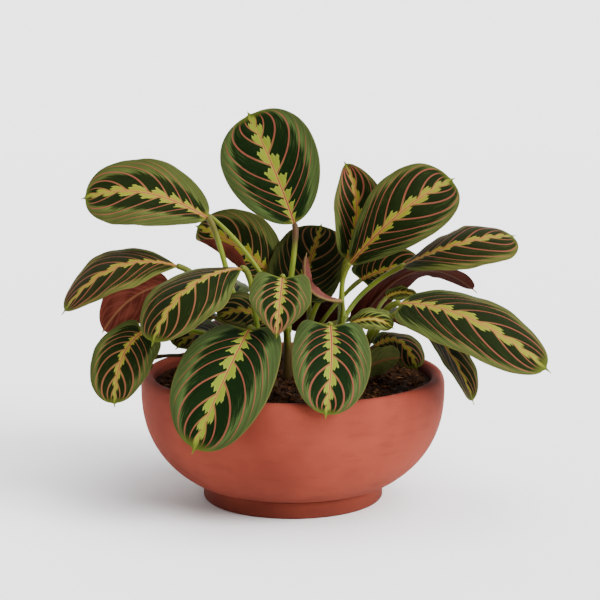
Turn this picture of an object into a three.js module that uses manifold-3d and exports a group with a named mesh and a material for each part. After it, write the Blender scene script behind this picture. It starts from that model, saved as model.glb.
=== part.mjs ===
// Prayer plant in a low, footed clay bowl.
// Millimetres, +Z up. The origin is the middle of the flat foot that the bowl stands on, and -Y is the front.
// Each shoot's stem stands in a plain hole in the soil and carries the stalks of its leaves. Each blade is a
// piece of its own that starts at the end of its stalk.

import * as THREE from "three";
import { mergeVertices } from "three/addons/utils/BufferGeometryUtils.js";
import Module from "manifold-3d";

const wasm = await Module();
wasm.setup();

const { abs, cos, log, max, min, PI, sin, sqrt } = Math;
const CLEARANCE = 0.3; // between pieces that touch

// Bowl
const BOWL_RADIUS = 110;
const BOWL_HEIGHT = 92.5;
const WIDEST_AT = 82; // height of the widest ring
const BELLY_DEPTH = 83; // from the widest ring down to where the belly would close
const BELLY_ROUNDNESS = 2.35; // exponent of the belly's superellipse
const FOOT_RADIUS = 65.5;
const FOOT_HEIGHT = 12.4;
const FOOT_EDGE = 1.5; // chamfer where the foot meets the table
const LIP_RADIUS = 105; // ring along the top of the lip
const LIP_INSIDE = 4.5; // how far the lip's rounding runs down inside
const MOUTH_RADIUS = 100.5;
const FLOOR_HEIGHT = 20; // inside of the bottom
const ROUND_SIDES = 44;
const RISING_SHARES = [0, 0.05, 0.14, 0.27, 0.43, 0.61, 0.8, 1]; // rings up the outside
const FALLING_SHARES = [0.75, 0.53, 0.33, 0.17, 0.06, 0.01]; // rings down the inside

// Soil
const SOIL_EDGE_HEIGHT = 85;
const SOIL_MOUND = 3;
const SOIL_LUMP = 0.8;
const SOIL_RINGS = 4;
const SOIL_SETTLE = 0.3; // more room at the wall, where soil has shrunk back
const SOIL_WALL_SHARES = [0.06, 0.33, 0.75]; // rings up the side, each also a ring of the bowl's inside

// Blades
const BLADE_THICKNESS = 0.8;
const BLADE_BASE_HALF = 2.4; // half width where a blade meets its stalk
const BLADE_TIP_HALF = 0.35;
const BLADE_ROWS = 11; // cells from base to tip
const BLADE_COLUMNS = 4; // cells from edge to edge
const BLADE_ROUNDNESS = 2.15; // exponent of the outline's superellipse
const BLADE_BODY = 0.965; // share of the length before the drawn-out tip
const BLADE_TAPER = 1.1; // slope of the drawn-out tip
const NECK_POWER = 2; // how fast the drawing in at the base fades towards the widest place
const SLIM_POWER = 1.5; // how slowly the drawing in at the tip begins past it
const MIDRIB_ROUND = 2; // radius of the trough along the midrib
const FOLD_FADE = 0.5; // share of the fold that is gone at the tip
const LOBE_AT = 0.1; // where along the blade its basal lobes are drawn back the most
const EDGE_WAVE = 0.8;
const EDGE_WAVES = 2.5;
const WAVE_SHIFT = 1.7; // radians from one blade's waves to the next one's

// Stems and stalks
const STEM_DEPTH = 22; // how far a stem stands in the soil
const STEM_SIDES = 8;
const HOLE_SIDES = 12;
const STALK_RADIUS = 1.1; // of a stalk with no blade to carry
const STALK_GAIN = 0.015; // what its radius gains for each millimetre of its blade's width
const STALK_SIDES = 6;
const STALK_STEPS = 6;
const LOWEST_STALK = 0.35; // where up its stem the lowest stalk leaves, as a share of its length
const HIGHEST_STALK = 0.97;

// The shoots: where each stem leaves the soil, where it ends, and its radius.
const SHOOTS = {
  left: { foot: [-28, -12], top: [-34, -12, 122], radius: 3.4 },
  front_left: { foot: [-14, -34], top: [-20, -38, 112], radius: 3 },
  middle: { foot: [-4, -8], top: [-4, -10, 124], radius: 3.4 },
  front: { foot: [20, -34], top: [22, -38, 112], radius: 3 },
  right: { foot: [30, -8], top: [36, -10, 136], radius: 3.4 },
  right_front: { foot: [46, -26], top: [50, -28, 112], radius: 3 },
  back: { foot: [12, 28], top: [12, 34, 118], radius: 3.4 },
  back_left: { foot: [-30, 22], top: [-36, 28, 116], radius: 3 },
};

const leaf = (
  base, middle, tip, width, broadest, face, fold, curl, lobe, lead, rise, neck = 0, slim = 0,
) => ({ base, middle, tip, width, broadest, face, fold, curl, lobe, lead, rise, neck, slim });

// The leaves of each shoot, lowest first. base, middle and tip are points on the midrib, and broadest is the
// share of the length where the blade is widest. face is where the upper side looks: degrees round from the
// front towards +X, then degrees above level. fold is how steeply the left and the right half leave the
// midrib, as seen from above with the tip pointing away, and curl how much further each has turned up at its
// widest, in degrees. lobe is how far the two rounded lobes at the base are drawn back, in millimetres. lead
// is how far back from the blade the stalk begins to turn into it, and rise how far it first follows its
// stem. Two shares may follow: neck, by which the outline is drawn in at the base (filled out where it is
// below 0), and slim, by which it is drawn in at the tip.
const LEAVES = {
  left: {
    left_back: leaf(
      [-14.3, 20.5, 158.5], [-43, 27, 181], [-72, 34, 194],
      61, 0.5, [20, 30], [-62, 4], [208, 0], 0, 12, 10, 0, 0.3,
    ),
    left_under: leaf(
      [-88, -10, 159], [-116, -8, 147], [-136, -20, 124],
      50, 0.5, [-150, 30], [0, 0], [-8, -8], 3, 20, 20,
    ),
    mid_left: leaf(
      [-83, -10, 171], [-127, -22, 171], [-163, -30, 139],
      60, 0.5, [-50, 60], [-12, 5], [-4, -4], 0, 22, 20, 0.6, 0.3,
    ),
    upper_left: leaf(
      [-61, -6, 205], [-108, 4, 222], [-153, 14, 216],
      66, 0.56, [-10, 50], [6, 6], [-7, -7], 2, 8, 40, 0.3, 0,
    ),
  },
  front_left: {
    left_hidden: leaf(
      [-103, -24, 105], [-114, -30, 97], [-125, -34, 84],
      22, 0.5, [-40, 50], [0, 0], [-10, -10], 2, 22, 4,
    ),
    inner_low_left: leaf(
      [-42, -14, 114], [-63, -28, 126], [-82, -44, 117],
      42, 0.5, [-20, 60], [5, 5], [-11, -11], 4, 10, 8,
    ),
    inner_left: leaf(
      [-16, -22, 129], [-34, -29, 142], [-53, -36, 137],
      32, 0.5, [-10, 40], [5, 5], [-14, -14], 4, 10, 8,
    ),
    low_left: leaf(
      [-104, -46, 130], [-118, -62, 114], [-122, -76, 83],
      45, 0.5, [-15, 30], [5, 5], [-10, -10], 7, 24, 14,
    ),
    front_left: leaf(
      [-30, -58, 134], [-46, -98, 107], [-67, -114, 60],
      69, 0.5, [-14, 25], [14, 10], [-13, -13], 9, 10, 10,
    ),
    centre_left: leaf(
      [-36, -40, 174], [-73, -68, 163], [-95, -88, 128],
      66, 0.5, [-30, 50], [-8, -18], [-3, -3], 0, 12, 20, 0.7, 0.1,
    ),
  },
  middle: {
    centre_small: leaf(
      [-7, -57, 170], [-9, -75, 153], [-11, -81, 132],
      43, 0.4, [0, 30], [16, 16], [-16, -16], 6, 10, 20, 0, 0.85,
    ),
    centre_back: leaf(
      [1, 6, 146], [13, 26, 171], [21, 46, 194],
      54, 0.46, [0, 40], [8, 8], [0, 0], 4, 14, 10, -0.35, 0,
    ),
    upper_left_back: leaf(
      [-64, 3, 207], [-99, 34, 212], [-131, 62, 203],
      40, 0.5, [-30, 60], [5, 5], [-10, -10], 0, 30, 30, 0.6, 0,
    ),
    top_centre: leaf(
      [1, 0, 200], [-15, 12, 241], [-33, 28, 278],
      70, 0.58, [-4, 14], [8, 8], [-6, -6], 1, 10, 34,
    ),
  },
  front: {
    front_centre: leaf(
      [26, -60, 137], [26, -98, 117], [22, -116, 85],
      54, 0.44, [5, 30], [14, 14], [-17, -17], 9, 10, 10,
    ),
  },
  right: {
    young: leaf(
      [34, -18, 147], [12, -24, 157], [10, -16, 181],
      11, 0.5, [148, 10], [72, 72], [0, 0], 0, 4, 2,
    ),
    right_level: leaf(
      [80.1, 2, 169.6], [119.8, -8, 187], [160.3, 6, 190.5],
      57, 0.66, [10, 70], [4, 0], [-24, -24], 2, 38, 24, -0.5, 0,
    ),
    upper_right_back: leaf(
      [39, 9, 173], [46, 17, 211], [37, 27, 242],
      47, 0.42, [-4, 10], [62, 25], [0, 0], 1, 16, 4, 0, 0.6,
    ),
    upper_right: leaf(
      [41, -6, 172], [78, -14, 211], [116, 6, 232],
      55.5, 0.6, [-10, 25], [8, 8], [-7, -7], 1, 16, 4, 0.3, 0,
    ),
  },
  right_front: {
    right_inner: leaf(
      [50, -43, 104], [63, -39, 108.5], [76, -35, 109.5],
      26, 0.5, [170, 30], [0, 0], [0, 0], 2, 4, 2,
    ),
    right_rim: leaf(
      [59, -16, 114], [77, -12, 116], [89, -18, 96],
      38, 0.5, [10, 70], [-10, -8], [-8, -10], 2, 8, 6,
    ),
    right_small: leaf(
      [68, -3, 147], [79, 0, 150], [91, 3, 146],
      16, 0.5, [0, 60], [5, 5], [-10, -10], 1, 12, 10,
    ),
    low_right: leaf(
      [79, -26, 139], [107, -42, 118], [127, -52, 79],
      42, 0.58, [68, 30], [30, 6], [-6, -4], 7, 12, 10,
    ),
    small_light: leaf(
      [40, -44, 135], [56, -52, 140], [70, -56, 134],
      20, 0.5, [0, 50], [15, 15], [-10, -10], 2, 6, 4,
    ),
    right_front: leaf(
      [75, -44, 150], [124, -66, 142], [176, -80, 108],
      70, 0.5, [20, 57], [-10, 2], [-7, -7], 4, 14, 14,
    ),
  },
  back: {
    right_under: leaf(
      [47, 60, 113], [88, 26, 161], [135.5, 28, 145],
      36, 0.5, [180, 66], [0, 0], [0, 0], 2, 12, 6,
    ),
    right_behind: leaf(
      [51, 50, 151], [73, 60, 158], [100, 66, 161],
      44, 0.5, [-10, 55], [8, 8], [0, 0], 4, 12, 12,
    ),
    back_right_low: leaf(
      [52, 74, 120], [82, 97, 121], [104, 116, 97],
      62, 0.52, [140, 60], [-6, -6], [-7, -7], 6, 16, 14,
    ),
    back_middle: leaf(
      [12, 60, 137], [11, 85, 123], [7, 102, 99],
      56, 0.55, [180, 40], [-6, -6], [-7, -7], 6, 16, 8,
    ),
    back_right_high: leaf(
      [52, 46, 180], [70, 70, 194], [88, 96, 184],
      58, 0.52, [140, 60], [8, 8], [-8, -8], 4, 14, 20,
    ),
  },
  back_left: {
    back_left_low: leaf(
      [-58, 50, 122], [-90, 66, 124], [-118, 80, 98],
      60, 0.52, [-120, 60], [-6, -6], [-8, -8], 6, 16, 8,
    ),
    back_low: leaf(
      [-29, 65, 117], [-41, 99, 114], [-49, 127, 89],
      48, 0.52, [-170, 60], [-6, -6], [-8, -8], 6, 14, 8,
    ),
    back_left: leaf(
      [-46, 54, 140], [-70, 84, 146], [-92, 110, 124],
      62, 0.52, [-140, 60], [-6, -6], [-7, -7], 6, 16, 24,
    ),
  },
};

// Colours, roughness and metalness
const CLAY = { color: 0xb5634c, roughness: 0.85, metalness: 0 };
const EARTH = { color: 0x2e2018, roughness: 1, metalness: 0 };
const STALK_GREEN = { color: 0x7d8a3c, roughness: 0.55, metalness: 0 };
const LEAF_GREEN = { color: 0x3c5a2c, roughness: 0.5, metalness: 0 };

const point = (p) => new THREE.Vector3(...p);
const degrees = (angle) => (angle * PI) / 180;

// A closed geometry as a solid that can be joined and cut.
function solid(geometry) {
  const bare = geometry.clone();
  bare.deleteAttribute("normal");
  bare.deleteAttribute("uv");
  const merged = mergeVertices(bare, 1e-4);
  const mesh = new wasm.Mesh({
    numProp: 3,
    vertProperties: merged.attributes.position.array,
    triVerts: new Uint32Array(merged.index.array),
  });
  return new wasm.Manifold(mesh);
}

// A solid back as a geometry.
function geometryOf(body) {
  const mesh = body.getMesh();
  const geometry = new THREE.BufferGeometry();
  geometry.setAttribute("position", new THREE.BufferAttribute(mesh.vertProperties, 3));
  geometry.setIndex(new THREE.BufferAttribute(mesh.triVerts, 1));
  geometry.computeVertexNormals();
  return geometry;
}

function piece(name, geometry, finish) {
  const mesh = new THREE.Mesh(geometry, new THREE.MeshStandardMaterial(finish));
  mesh.name = name;
  return mesh;
}

// Turns a profile of [radius, height] round the Z axis.
function turned(profile) {
  const points = profile.map(([radius, height]) => new THREE.Vector2(radius, height));
  return new THREE.LatheGeometry(points, ROUND_SIDES).rotateX(PI / 2);
}

// Radius of a superellipse with the given reach and drop, at a height below its widest ring.
function belly(radius, drop, below) {
  return radius * max(0, 1 - abs(below / drop) ** BELLY_ROUNDNESS) ** (1 / BELLY_ROUNDNESS);
}

// Points on a quarter of an ellipse round [radius, height], without the first.
function quarter(radius, height, reach, rise, from, to, steps) {
  return Array.from({ length: steps }, (_, i) => {
    const angle = degrees(from + ((to - from) * (i + 1)) / steps);
    return [radius + reach * cos(angle), height + rise * sin(angle)];
  });
}

// The bowl's inside from the floor up to where the lip's rounding starts, drawn in by a gap.
function insideWall(shares, gap) {
  const drop = BOWL_HEIGHT - LIP_INSIDE - FLOOR_HEIGHT;
  return shares.map((share) => {
    const up = drop * share;
    return [belly(MOUTH_RADIUS, drop, drop - up) - gap, FLOOR_HEIGHT + up];
  });
}

// The bowl is turned: a foot ring, the belly, a lip rounded out and in, and the inside down to the floor.
function bowl() {
  const outside = RISING_SHARES.map((share) => {
    const height = FOOT_HEIGHT + (WIDEST_AT - FOOT_HEIGHT) * share;
    return [belly(BOWL_RADIUS, BELLY_DEPTH, WIDEST_AT - height), height];
  });
  const lipStart = BOWL_HEIGHT - LIP_INSIDE;
  const profile = [
    [0, 0],
    [FOOT_RADIUS - FOOT_EDGE, 0],
    [FOOT_RADIUS, FOOT_EDGE],
    [FOOT_RADIUS, FOOT_HEIGHT],
    ...outside,
    ...quarter(LIP_RADIUS, WIDEST_AT, BOWL_RADIUS - LIP_RADIUS, BOWL_HEIGHT - WIDEST_AT, 0, 90, 4),
    ...quarter(LIP_RADIUS, lipStart, LIP_RADIUS - MOUTH_RADIUS, LIP_INSIDE, 90, 180, 3),
    ...insideWall(FALLING_SHARES, 0),
    [0, FLOOR_HEIGHT],
  ];
  return geometryOf(solid(turned(profile)));
}

// Height of the soil: a low mound with a few broad lumps.
function soilHeight(x, y) {
  const share = sqrt(x * x + y * y) / MOUTH_RADIUS;
  const lumps = sin(x / 9 + 1) * cos(y / 11) + sin(x / 17 - y / 13);
  return SOIL_EDGE_HEIGHT + SOIL_MOUND * (1 - share * share) + SOIL_LUMP * lumps * (1 - share);
}

function soil() {
  const edgeShare = (SOIL_EDGE_HEIGHT - FLOOR_HEIGHT) / (BOWL_HEIGHT - LIP_INSIDE - FLOOR_HEIGHT);
  const wall = insideWall([...SOIL_WALL_SHARES, edgeShare], CLEARANCE + SOIL_SETTLE);
  const edge = wall.at(-1)[0];
  const rings = Array.from({ length: SOIL_RINGS }, (_, i) => edge * (1 - (i + 1) / (SOIL_RINGS + 1)));
  const top = [...rings, 0].map((radius) => [radius, SOIL_EDGE_HEIGHT]);
  const geometry = turned([[0, wall[0][1]], ...wall, ...top]);
  const at = geometry.attributes.position;
  for (let i = 0; i < at.count; i++) {
    const isTop = at.getZ(i) > SOIL_EDGE_HEIGHT - CLEARANCE;
    if (isTop) at.setZ(i, soilHeight(at.getX(i), at.getY(i)));
  }
  let body = solid(geometry);
  for (const { foot, radius } of Object.values(SHOOTS)) {
    const wide = (radius + CLEARANCE) / cos(PI / HOLE_SIDES);
    const hole = new THREE.CylinderGeometry(wide, wide, STEM_DEPTH * 2, HOLE_SIDES).rotateX(PI / 2);
    hole.translate(foot[0], foot[1], soilHeight(...foot) + CLEARANCE);
    body = body.subtract(solid(hole));
  }
  return geometryOf(body);
}

// A tube with flat ends along a curve.
function tube(path, radius, sides, steps) {
  const corners = Array.from({ length: sides }, (_, i) => {
    const angle = (2 * PI * i) / sides;
    return new THREE.Vector2(radius * cos(angle), radius * sin(angle));
  });
  const shape = new THREE.Shape(corners);
  return new THREE.ExtrudeGeometry(shape, { steps, bevelEnabled: false, extrudePath: path });
}

// The midrib is the parabola through base, middle and tip.
function midrib({ base, middle, tip }) {
  const bend = point(middle).multiplyScalar(2).sub(point(base).add(point(tip)).multiplyScalar(0.5));
  return new THREE.QuadraticBezierCurve3(point(base), bend, point(tip));
}

// A stem is a straight peg in the soil and a gently bent shaft above it.
function stem({ foot, top, radius }) {
  const ground = soilHeight(...foot);
  const pegFoot = point([...foot, ground - STEM_DEPTH + CLEARANCE]);
  const peg = new THREE.LineCurve3(pegFoot, point([...foot, ground + radius]));
  const shaft = new THREE.QuadraticBezierCurve3(
    point([...foot, ground + 1]),
    point([...foot, (ground + top[2]) / 2]),
    point(top),
  );
  return { peg: tube(peg, radius, STEM_SIDES, 1), shaft, body: tube(shaft, radius, STEM_SIDES, 3) };
}

// One shoot's stem with all its stalks, joined.
function shoot(size, leaves) {
  const { peg, shaft, body } = stem(size);
  let joined = solid(peg).add(solid(body));
  const step = (HIGHEST_STALK - LOWEST_STALK) / max(1, leaves.length - 1);
  leaves.forEach((leaf, i) => {
    const share = HIGHEST_STALK - step * (leaves.length - 1 - i);
    const start = shaft.getPoint(share);
    const along = shaft.getTangent(share);
    const into = midrib(leaf).getTangent(0);
    const end = point(leaf.base).addScaledVector(into, -CLEARANCE);
    const path = new THREE.CubicBezierCurve3(
      start,
      start.clone().addScaledVector(along, leaf.rise),
      end.clone().addScaledVector(into, -leaf.lead),
      end,
    );
    const radius = STALK_RADIUS + STALK_GAIN * leaf.width;
    joined = joined.add(solid(tube(path, radius, STALK_SIDES, STALK_STEPS)));
  });
  return geometryOf(joined);
}

// Half width of a blade at a share of its length: a superellipse whose end is drawn out to a point.
function halfWidth({ width, broadest, neck, slim }, along) {
  const q = 1 - 2 * min(1, along / BLADE_BODY) ** (log(0.5) / log(broadest));
  const oval = max(0, 1 - abs(q) ** BLADE_ROUNDNESS) ** (1 / BLADE_ROUNDNESS);
  const drawnOut = along > 0.5 ? min(1, BLADE_TAPER * (1 - along)) : 0;
  const least = BLADE_BASE_HALF + (BLADE_TIP_HALF - BLADE_BASE_HALF) * along;
  const drawnIn = along < broadest
    ? neck * (1 - along / broadest) ** NECK_POWER
    : slim * ((along - broadest) / (1 - broadest)) ** SLIM_POWER;
  return max((width / 2) * max(oval * (1 - drawnIn), drawnOut), least);
}

// A blade is a grid of rows along its midrib and columns from its left edge to its right, with one skin above
// and one below, split along the same diagonals, which are mirrored at the midrib, and a strip all round.
// Across, each half is an arc that leaves a trough along the midrib at its fold and turns on by its curl.
function blade(leaf, phase) {
  const rib = midrib(leaf);
  const [round, up] = leaf.face.map(degrees);
  const face = point([cos(up) * sin(round), -cos(up) * cos(round), sin(up)]);
  const back = rib.getTangent(0).multiplyScalar(-leaf.lobe);
  const rows = [];
  for (let i = 0; i <= BLADE_ROWS; i++) {
    const share = i / BLADE_ROWS;
    const along = (share + (1 - cos(PI * share)) / 2) / 2;
    const tangent = rib.getTangent(along);
    const side = tangent.clone().cross(face).normalize();
    const normal = side.clone().cross(tangent);
    const half = halfWidth(leaf, along);
    const lobe = (along / LOBE_AT) * Math.exp(1 - along / LOBE_AT);
    const row = [];
    for (let j = 0; j <= BLADE_COLUMNS; j++) {
      const across = (2 * j) / BLADE_COLUMNS - 1;
      const reach = abs(across) * half;
      const hand = across < 0 ? 0 : 1;
      const turn = degrees(leaf.curl[hand]) * (reach / leaf.width);
      const bend = degrees(leaf.fold[hand]) * (1 - FOLD_FADE * along) + turn;
      const chord = abs(turn) > 0 ? sin(turn) / turn : 1;
      const trough = sqrt(reach * reach + MIDRIB_ROUND ** 2) - MIDRIB_ROUND;
      const wave = EDGE_WAVE * across * across * sin(2 * PI * EDGE_WAVES * along + phase);
      const spot = rib.getPoint(along).addScaledVector(back, across * across * lobe);
      spot.addScaledVector(side, Math.sign(across) * reach * chord * cos(bend));
      spot.addScaledVector(normal, trough * chord * sin(bend) + (wave * half * 2) / leaf.width);
      row.push(spot);
    }
    rows.push(row);
  }
  const wide = BLADE_COLUMNS + 1;
  const count = wide * (BLADE_ROWS + 1);
  const places = new Float32Array(count * 6);
  rows.forEach((row, i) =>
    row.forEach((spot, j) => {
      const ahead = i > 0 ? rows[min(i + 1, BLADE_ROWS)][j].clone().sub(rows[i - 1][j]) : rib.getTangent(0);
      const right = row[min(j + 1, BLADE_COLUMNS)].clone().sub(row[max(j - 1, 0)]);
      const out = right.cross(ahead).setLength(BLADE_THICKNESS / 2);
      const at = i * wide + j;
      spot.clone().add(out).toArray(places, at * 3);
      spot.clone().sub(out).toArray(places, (count + at) * 3);
    }),
  );
  const faces = [];
  for (let i = 0; i < BLADE_ROWS; i++) {
    for (let j = 0; j < BLADE_COLUMNS; j++) {
      const [a, b, c, d] = [i * wide + j, (i + 1) * wide + j, (i + 1) * wide + j + 1, i * wide + j + 1];
      const triangles = j < BLADE_COLUMNS / 2 ? [a, d, c, a, c, b] : [a, d, b, b, d, c];
      const below = triangles.map((corner) => count + corner).reverse();
      faces.push(...triangles, ...below);
    }
  }
  const strip = (a, b) => faces.push(a, b, count + a, count + a, b, count + b);
  for (let i = 0; i < BLADE_ROWS; i++) {
    strip(i * wide, (i + 1) * wide);
    strip((i + 2) * wide - 1, (i + 1) * wide - 1);
  }
  for (let j = 0; j < BLADE_COLUMNS; j++) {
    strip(j + 1, j);
    strip(BLADE_ROWS * wide + j, BLADE_ROWS * wide + j + 1);
  }
  const geometry = new THREE.BufferGeometry();
  geometry.setAttribute("position", new THREE.BufferAttribute(places, 3));
  geometry.setIndex(faces);
  geometry.computeVertexNormals();
  return geometry;
}

const plant = new THREE.Group();
plant.add(piece("bowl", bowl(), CLAY));
plant.add(piece("soil", soil(), EARTH));
let phase = 0;
for (const [name, leaves] of Object.entries(LEAVES)) {
  plant.add(piece("stem_" + name, shoot(SHOOTS[name], Object.values(leaves)), STALK_GREEN));
  for (const [leafName, leaf] of Object.entries(leaves)) {
    phase += WAVE_SHIFT;
    plant.add(piece("leaf_" + leafName, blade(leaf, phase), LEAF_GREEN));
  }
}

export default plant;
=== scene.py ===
import math

import bpy
import numpy as np
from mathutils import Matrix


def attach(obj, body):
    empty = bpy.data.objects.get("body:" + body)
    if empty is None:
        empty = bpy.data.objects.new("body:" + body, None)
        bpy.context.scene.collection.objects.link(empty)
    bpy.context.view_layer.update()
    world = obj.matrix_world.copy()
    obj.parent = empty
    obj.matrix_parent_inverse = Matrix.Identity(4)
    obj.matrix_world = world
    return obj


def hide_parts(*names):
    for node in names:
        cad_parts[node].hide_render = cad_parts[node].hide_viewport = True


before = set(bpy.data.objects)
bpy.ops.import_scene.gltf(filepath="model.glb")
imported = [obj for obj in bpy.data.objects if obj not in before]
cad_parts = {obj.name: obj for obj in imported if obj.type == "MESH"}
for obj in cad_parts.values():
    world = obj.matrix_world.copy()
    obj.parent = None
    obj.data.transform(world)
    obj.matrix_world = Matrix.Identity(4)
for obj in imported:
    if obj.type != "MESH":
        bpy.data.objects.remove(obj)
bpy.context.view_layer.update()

# The photograph looks at the plant's front from about a metre and a quarter away and from a little above the rim,
# through a long lens, so the bowl's mouth shows as a narrow ellipse.
VIEW_FROM = (0.0051, -1.2613, 0.3648)
LOOKING_DOWN = 0.173
LENS = 106.52

camera = bpy.data.objects.new("camera", bpy.data.cameras.new("camera"))
camera.data.sensor_width = 36
camera.data.lens = LENS
camera.location = VIEW_FROM
camera.rotation_euler = (math.pi / 2 - LOOKING_DOWN, 0, 0)
bpy.context.scene.collection.objects.link(camera)
bpy.context.scene.camera = camera


# The studio: a pale floor that curves up into the backdrop, a broad light overhead, a softer key from the right that
# models the bowl, and an even pale surround that keeps the shadows light.
FLOOR_PALE = (0.9, 0.9, 0.9, 1)
FLOOR_REACH = 7000  # flat to each side and in front
FLOOR_BEHIND = 2500
LIP = 1500  # radius of the turned-up front and sides
BACKDROP_ROUND = 2500
BACKDROP_TOP = 7000
SURROUND = (1.0, 1.0, 1.0, 1)
SURROUND_STRENGTH = 0.35


def srgb(red, green, blue):
    """A colour given as screen values from 0 to 255, as the linear values that a shader takes."""
    return tuple(c / 3294.6 if c <= 10.31 else ((c / 255 + 0.055) / 1.055) ** 2.4 for c in (red, green, blue)) + (1,)


def piece(name, points, *faces, smooth=True):
    """A mesh object from an array of points in millimetres and arrays of triangles or quads that index them."""
    mesh = bpy.data.meshes.new(name)
    mesh.vertices.add(len(points))
    mesh.vertices.foreach_set("co", (np.asarray(points, float) / 1000).ravel())
    corners = np.concatenate([f.ravel() for f in faces])
    sizes = np.concatenate([np.full(len(f), f.shape[1]) for f in faces])
    mesh.loops.add(len(corners))
    mesh.loops.foreach_set("vertex_index", corners)
    mesh.polygons.add(len(sizes))
    mesh.polygons.foreach_set("loop_start", np.concatenate([[0], np.cumsum(sizes)[:-1]]))
    mesh.polygons.foreach_set("use_smooth", np.full(len(sizes), smooth))
    mesh.update(calc_edges=True)
    made = bpy.data.objects.new(name, mesh)
    bpy.context.scene.collection.objects.link(made)
    return made


def grid_faces(rows, columns, closed=False):
    """Quads between neighbouring points of a grid, which is numbered row by row. A closed grid joins its last
    column to its first."""
    last = columns if closed else columns - 1
    i, j = np.meshgrid(np.arange(rows - 1), np.arange(last), indexing="ij")
    here, after = i * columns + j, i * columns + (j + 1) % columns
    return np.stack([here, after, after + columns, here + columns], -1).reshape(-1, 4)


class Value:
    """One value or colour in a material. Arithmetic on a value adds Math nodes."""

    def __init__(self, finish, socket):
        self.finish, self.socket = finish, socket

    def math(self, operation, *others):
        return self.finish.node("ShaderNodeMath", {"operation": operation}, [self, *others])

    def __add__(self, other):
        return self.math("ADD", other)

    def __mul__(self, other):
        return self.math("MULTIPLY", other)

    def __sub__(self, other):
        return self.math("SUBTRACT", other)

    def __truediv__(self, other):
        return self.math("DIVIDE", other)

    def __pow__(self, other):
        return self.math("POWER", other)

    def __rsub__(self, other):
        return self.finish.node("ShaderNodeMath", {"operation": "SUBTRACT"}, [other, self])

    def __abs__(self):
        return self.math("ABSOLUTE")

    __radd__ = __add__
    __rmul__ = __mul__

    def least(self, other):
        return self.math("MINIMUM", other)

    def most(self, other):
        return self.math("MAXIMUM", other)

    def rises(self, low, high):
        """0 below low, 1 above high, and smooth between them."""
        settings = {"interpolation_type": "SMOOTHSTEP"}
        return self.finish.node("ShaderNodeMapRange", settings, [self, low, high, 0.0, 1.0])

    def falls(self, low, high):
        """1 below low, 0 above high, and smooth between them."""
        return 1 - self.rises(low, high)


class Finish:
    """A material and what paints it."""

    def __init__(self, name, **constants):
        self.material = bpy.data.materials.new(name)
        self.material.use_nodes = True
        self.tree = self.material.node_tree
        self.shader = self.tree.nodes["Principled BSDF"]
        for socket, value in constants.items():
            self.shader.inputs[socket.replace("_", " ")].default_value = value

    def node(self, kind, settings=None, values=(), out=0):
        """Adds a node, sets it up, then gives its sockets their values or links, and returns one of its outputs."""
        made = self.tree.nodes.new(kind)
        for key, value in (settings or {}).items():
            setattr(made, key, value)
        for key, value in values.items() if isinstance(values, dict) else enumerate(values):
            if isinstance(value, Value):
                self.tree.links.new(value.socket, made.inputs[key])
            else:
                made.inputs[key].default_value = value
        return Value(self, made.outputs[out])

    def paint(self, under, over, share):
        """One colour laid over another by a share from 0 to 1."""
        settings = {"data_type": "RGBA"}
        return self.node("ShaderNodeMix", settings, {0: share, 6: under, 7: over}, out=2)

    def shade(self, colour, amount):
        """A colour made lighter or darker all over by a factor."""
        grey = self.three(amount, amount, amount)
        return self.node("ShaderNodeVectorMath", {"operation": "MULTIPLY"}, [colour, grey])

    def place(self):
        """Object coordinates."""
        return self.node("ShaderNodeTexCoord", out=3)

    def noise(self, at, size, detail=2.0, rough=0.5):
        """Soft noise round 0.5, with lumps about size metres across when at is in metres."""
        values = {"Vector": at, "Scale": 1 / size, "Detail": detail, "Roughness": rough}
        return self.node("ShaderNodeTexNoise", None, values)

    def parts(self, vector):
        """The three values of a vector."""
        split = self.node("ShaderNodeSeparateXYZ", None, [vector]).socket.node
        return [Value(self, socket) for socket in split.outputs]

    def three(self, x, y, z):
        """A vector of three values."""
        return self.node("ShaderNodeCombineXYZ", None, [x, y, z])

    def marked(self, name):
        """The three values that the points of a piece carry under a name."""
        return self.parts(self.node("ShaderNodeAttribute", {"attribute_name": name}, out=1))

    def finish(self, colour, rough, height, depth):
        """Links the worked-out colour, roughness and relief to the shader. The relief is depth metres deep."""
        relief = self.node("ShaderNodeBump", None, {"Strength": 1.0, "Distance": depth, "Height": height})
        for socket, value in (("Base Color", colour), ("Roughness", rough), ("Normal", relief)):
            self.tree.links.new(value.socket, self.shader.inputs[socket])
        return self.material


# floor and backdrop: one sheet, flat round the plant, turned up a little in front and at both sides, and rising in a
# wide quarter round behind
turn = np.linspace(0, math.pi / 2, 17)[1:]
lip_out, lip_up = FLOOR_REACH + LIP * np.sin(turn), LIP - LIP * np.cos(turn)
flat_across = np.linspace(-FLOOR_REACH, FLOOR_REACH, 25)
flat_run = np.linspace(-FLOOR_REACH, FLOOR_BEHIND, 13)
round_run, round_up = FLOOR_BEHIND + BACKDROP_ROUND * np.sin(turn), BACKDROP_ROUND - BACKDROP_ROUND * np.cos(turn)
across = np.concatenate([-lip_out[::-1], flat_across, lip_out])
side_up = np.concatenate([lip_up[::-1], 0 * flat_across, lip_up])
run = np.concatenate([-lip_out[::-1], flat_run, round_run, round_run[[-1, -1]]])
lift = np.concatenate([lip_up[::-1], 0 * flat_run, round_up, [4500, BACKDROP_TOP]])
sheet = np.stack(np.broadcast_arrays(across[None, :], run[:, None], lift[:, None] + side_up), -1)
floor = piece("floor", sheet.reshape(-1, 3), grid_faces(len(run), len(across)))
paper = Finish("backdrop_paper", Roughness=0.95, Specular_IOR_Level=0.1)
paper.shader.inputs["Base Color"].default_value = FLOOR_PALE
floor.data.materials.append(paper.material)

world = bpy.data.worlds.new("studio")
world.use_nodes = True
world.node_tree.nodes["Background"].inputs[0].default_value = SURROUND
world.node_tree.nodes["Background"].inputs[1].default_value = SURROUND_STRENGTH
bpy.context.scene.world = world


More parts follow.
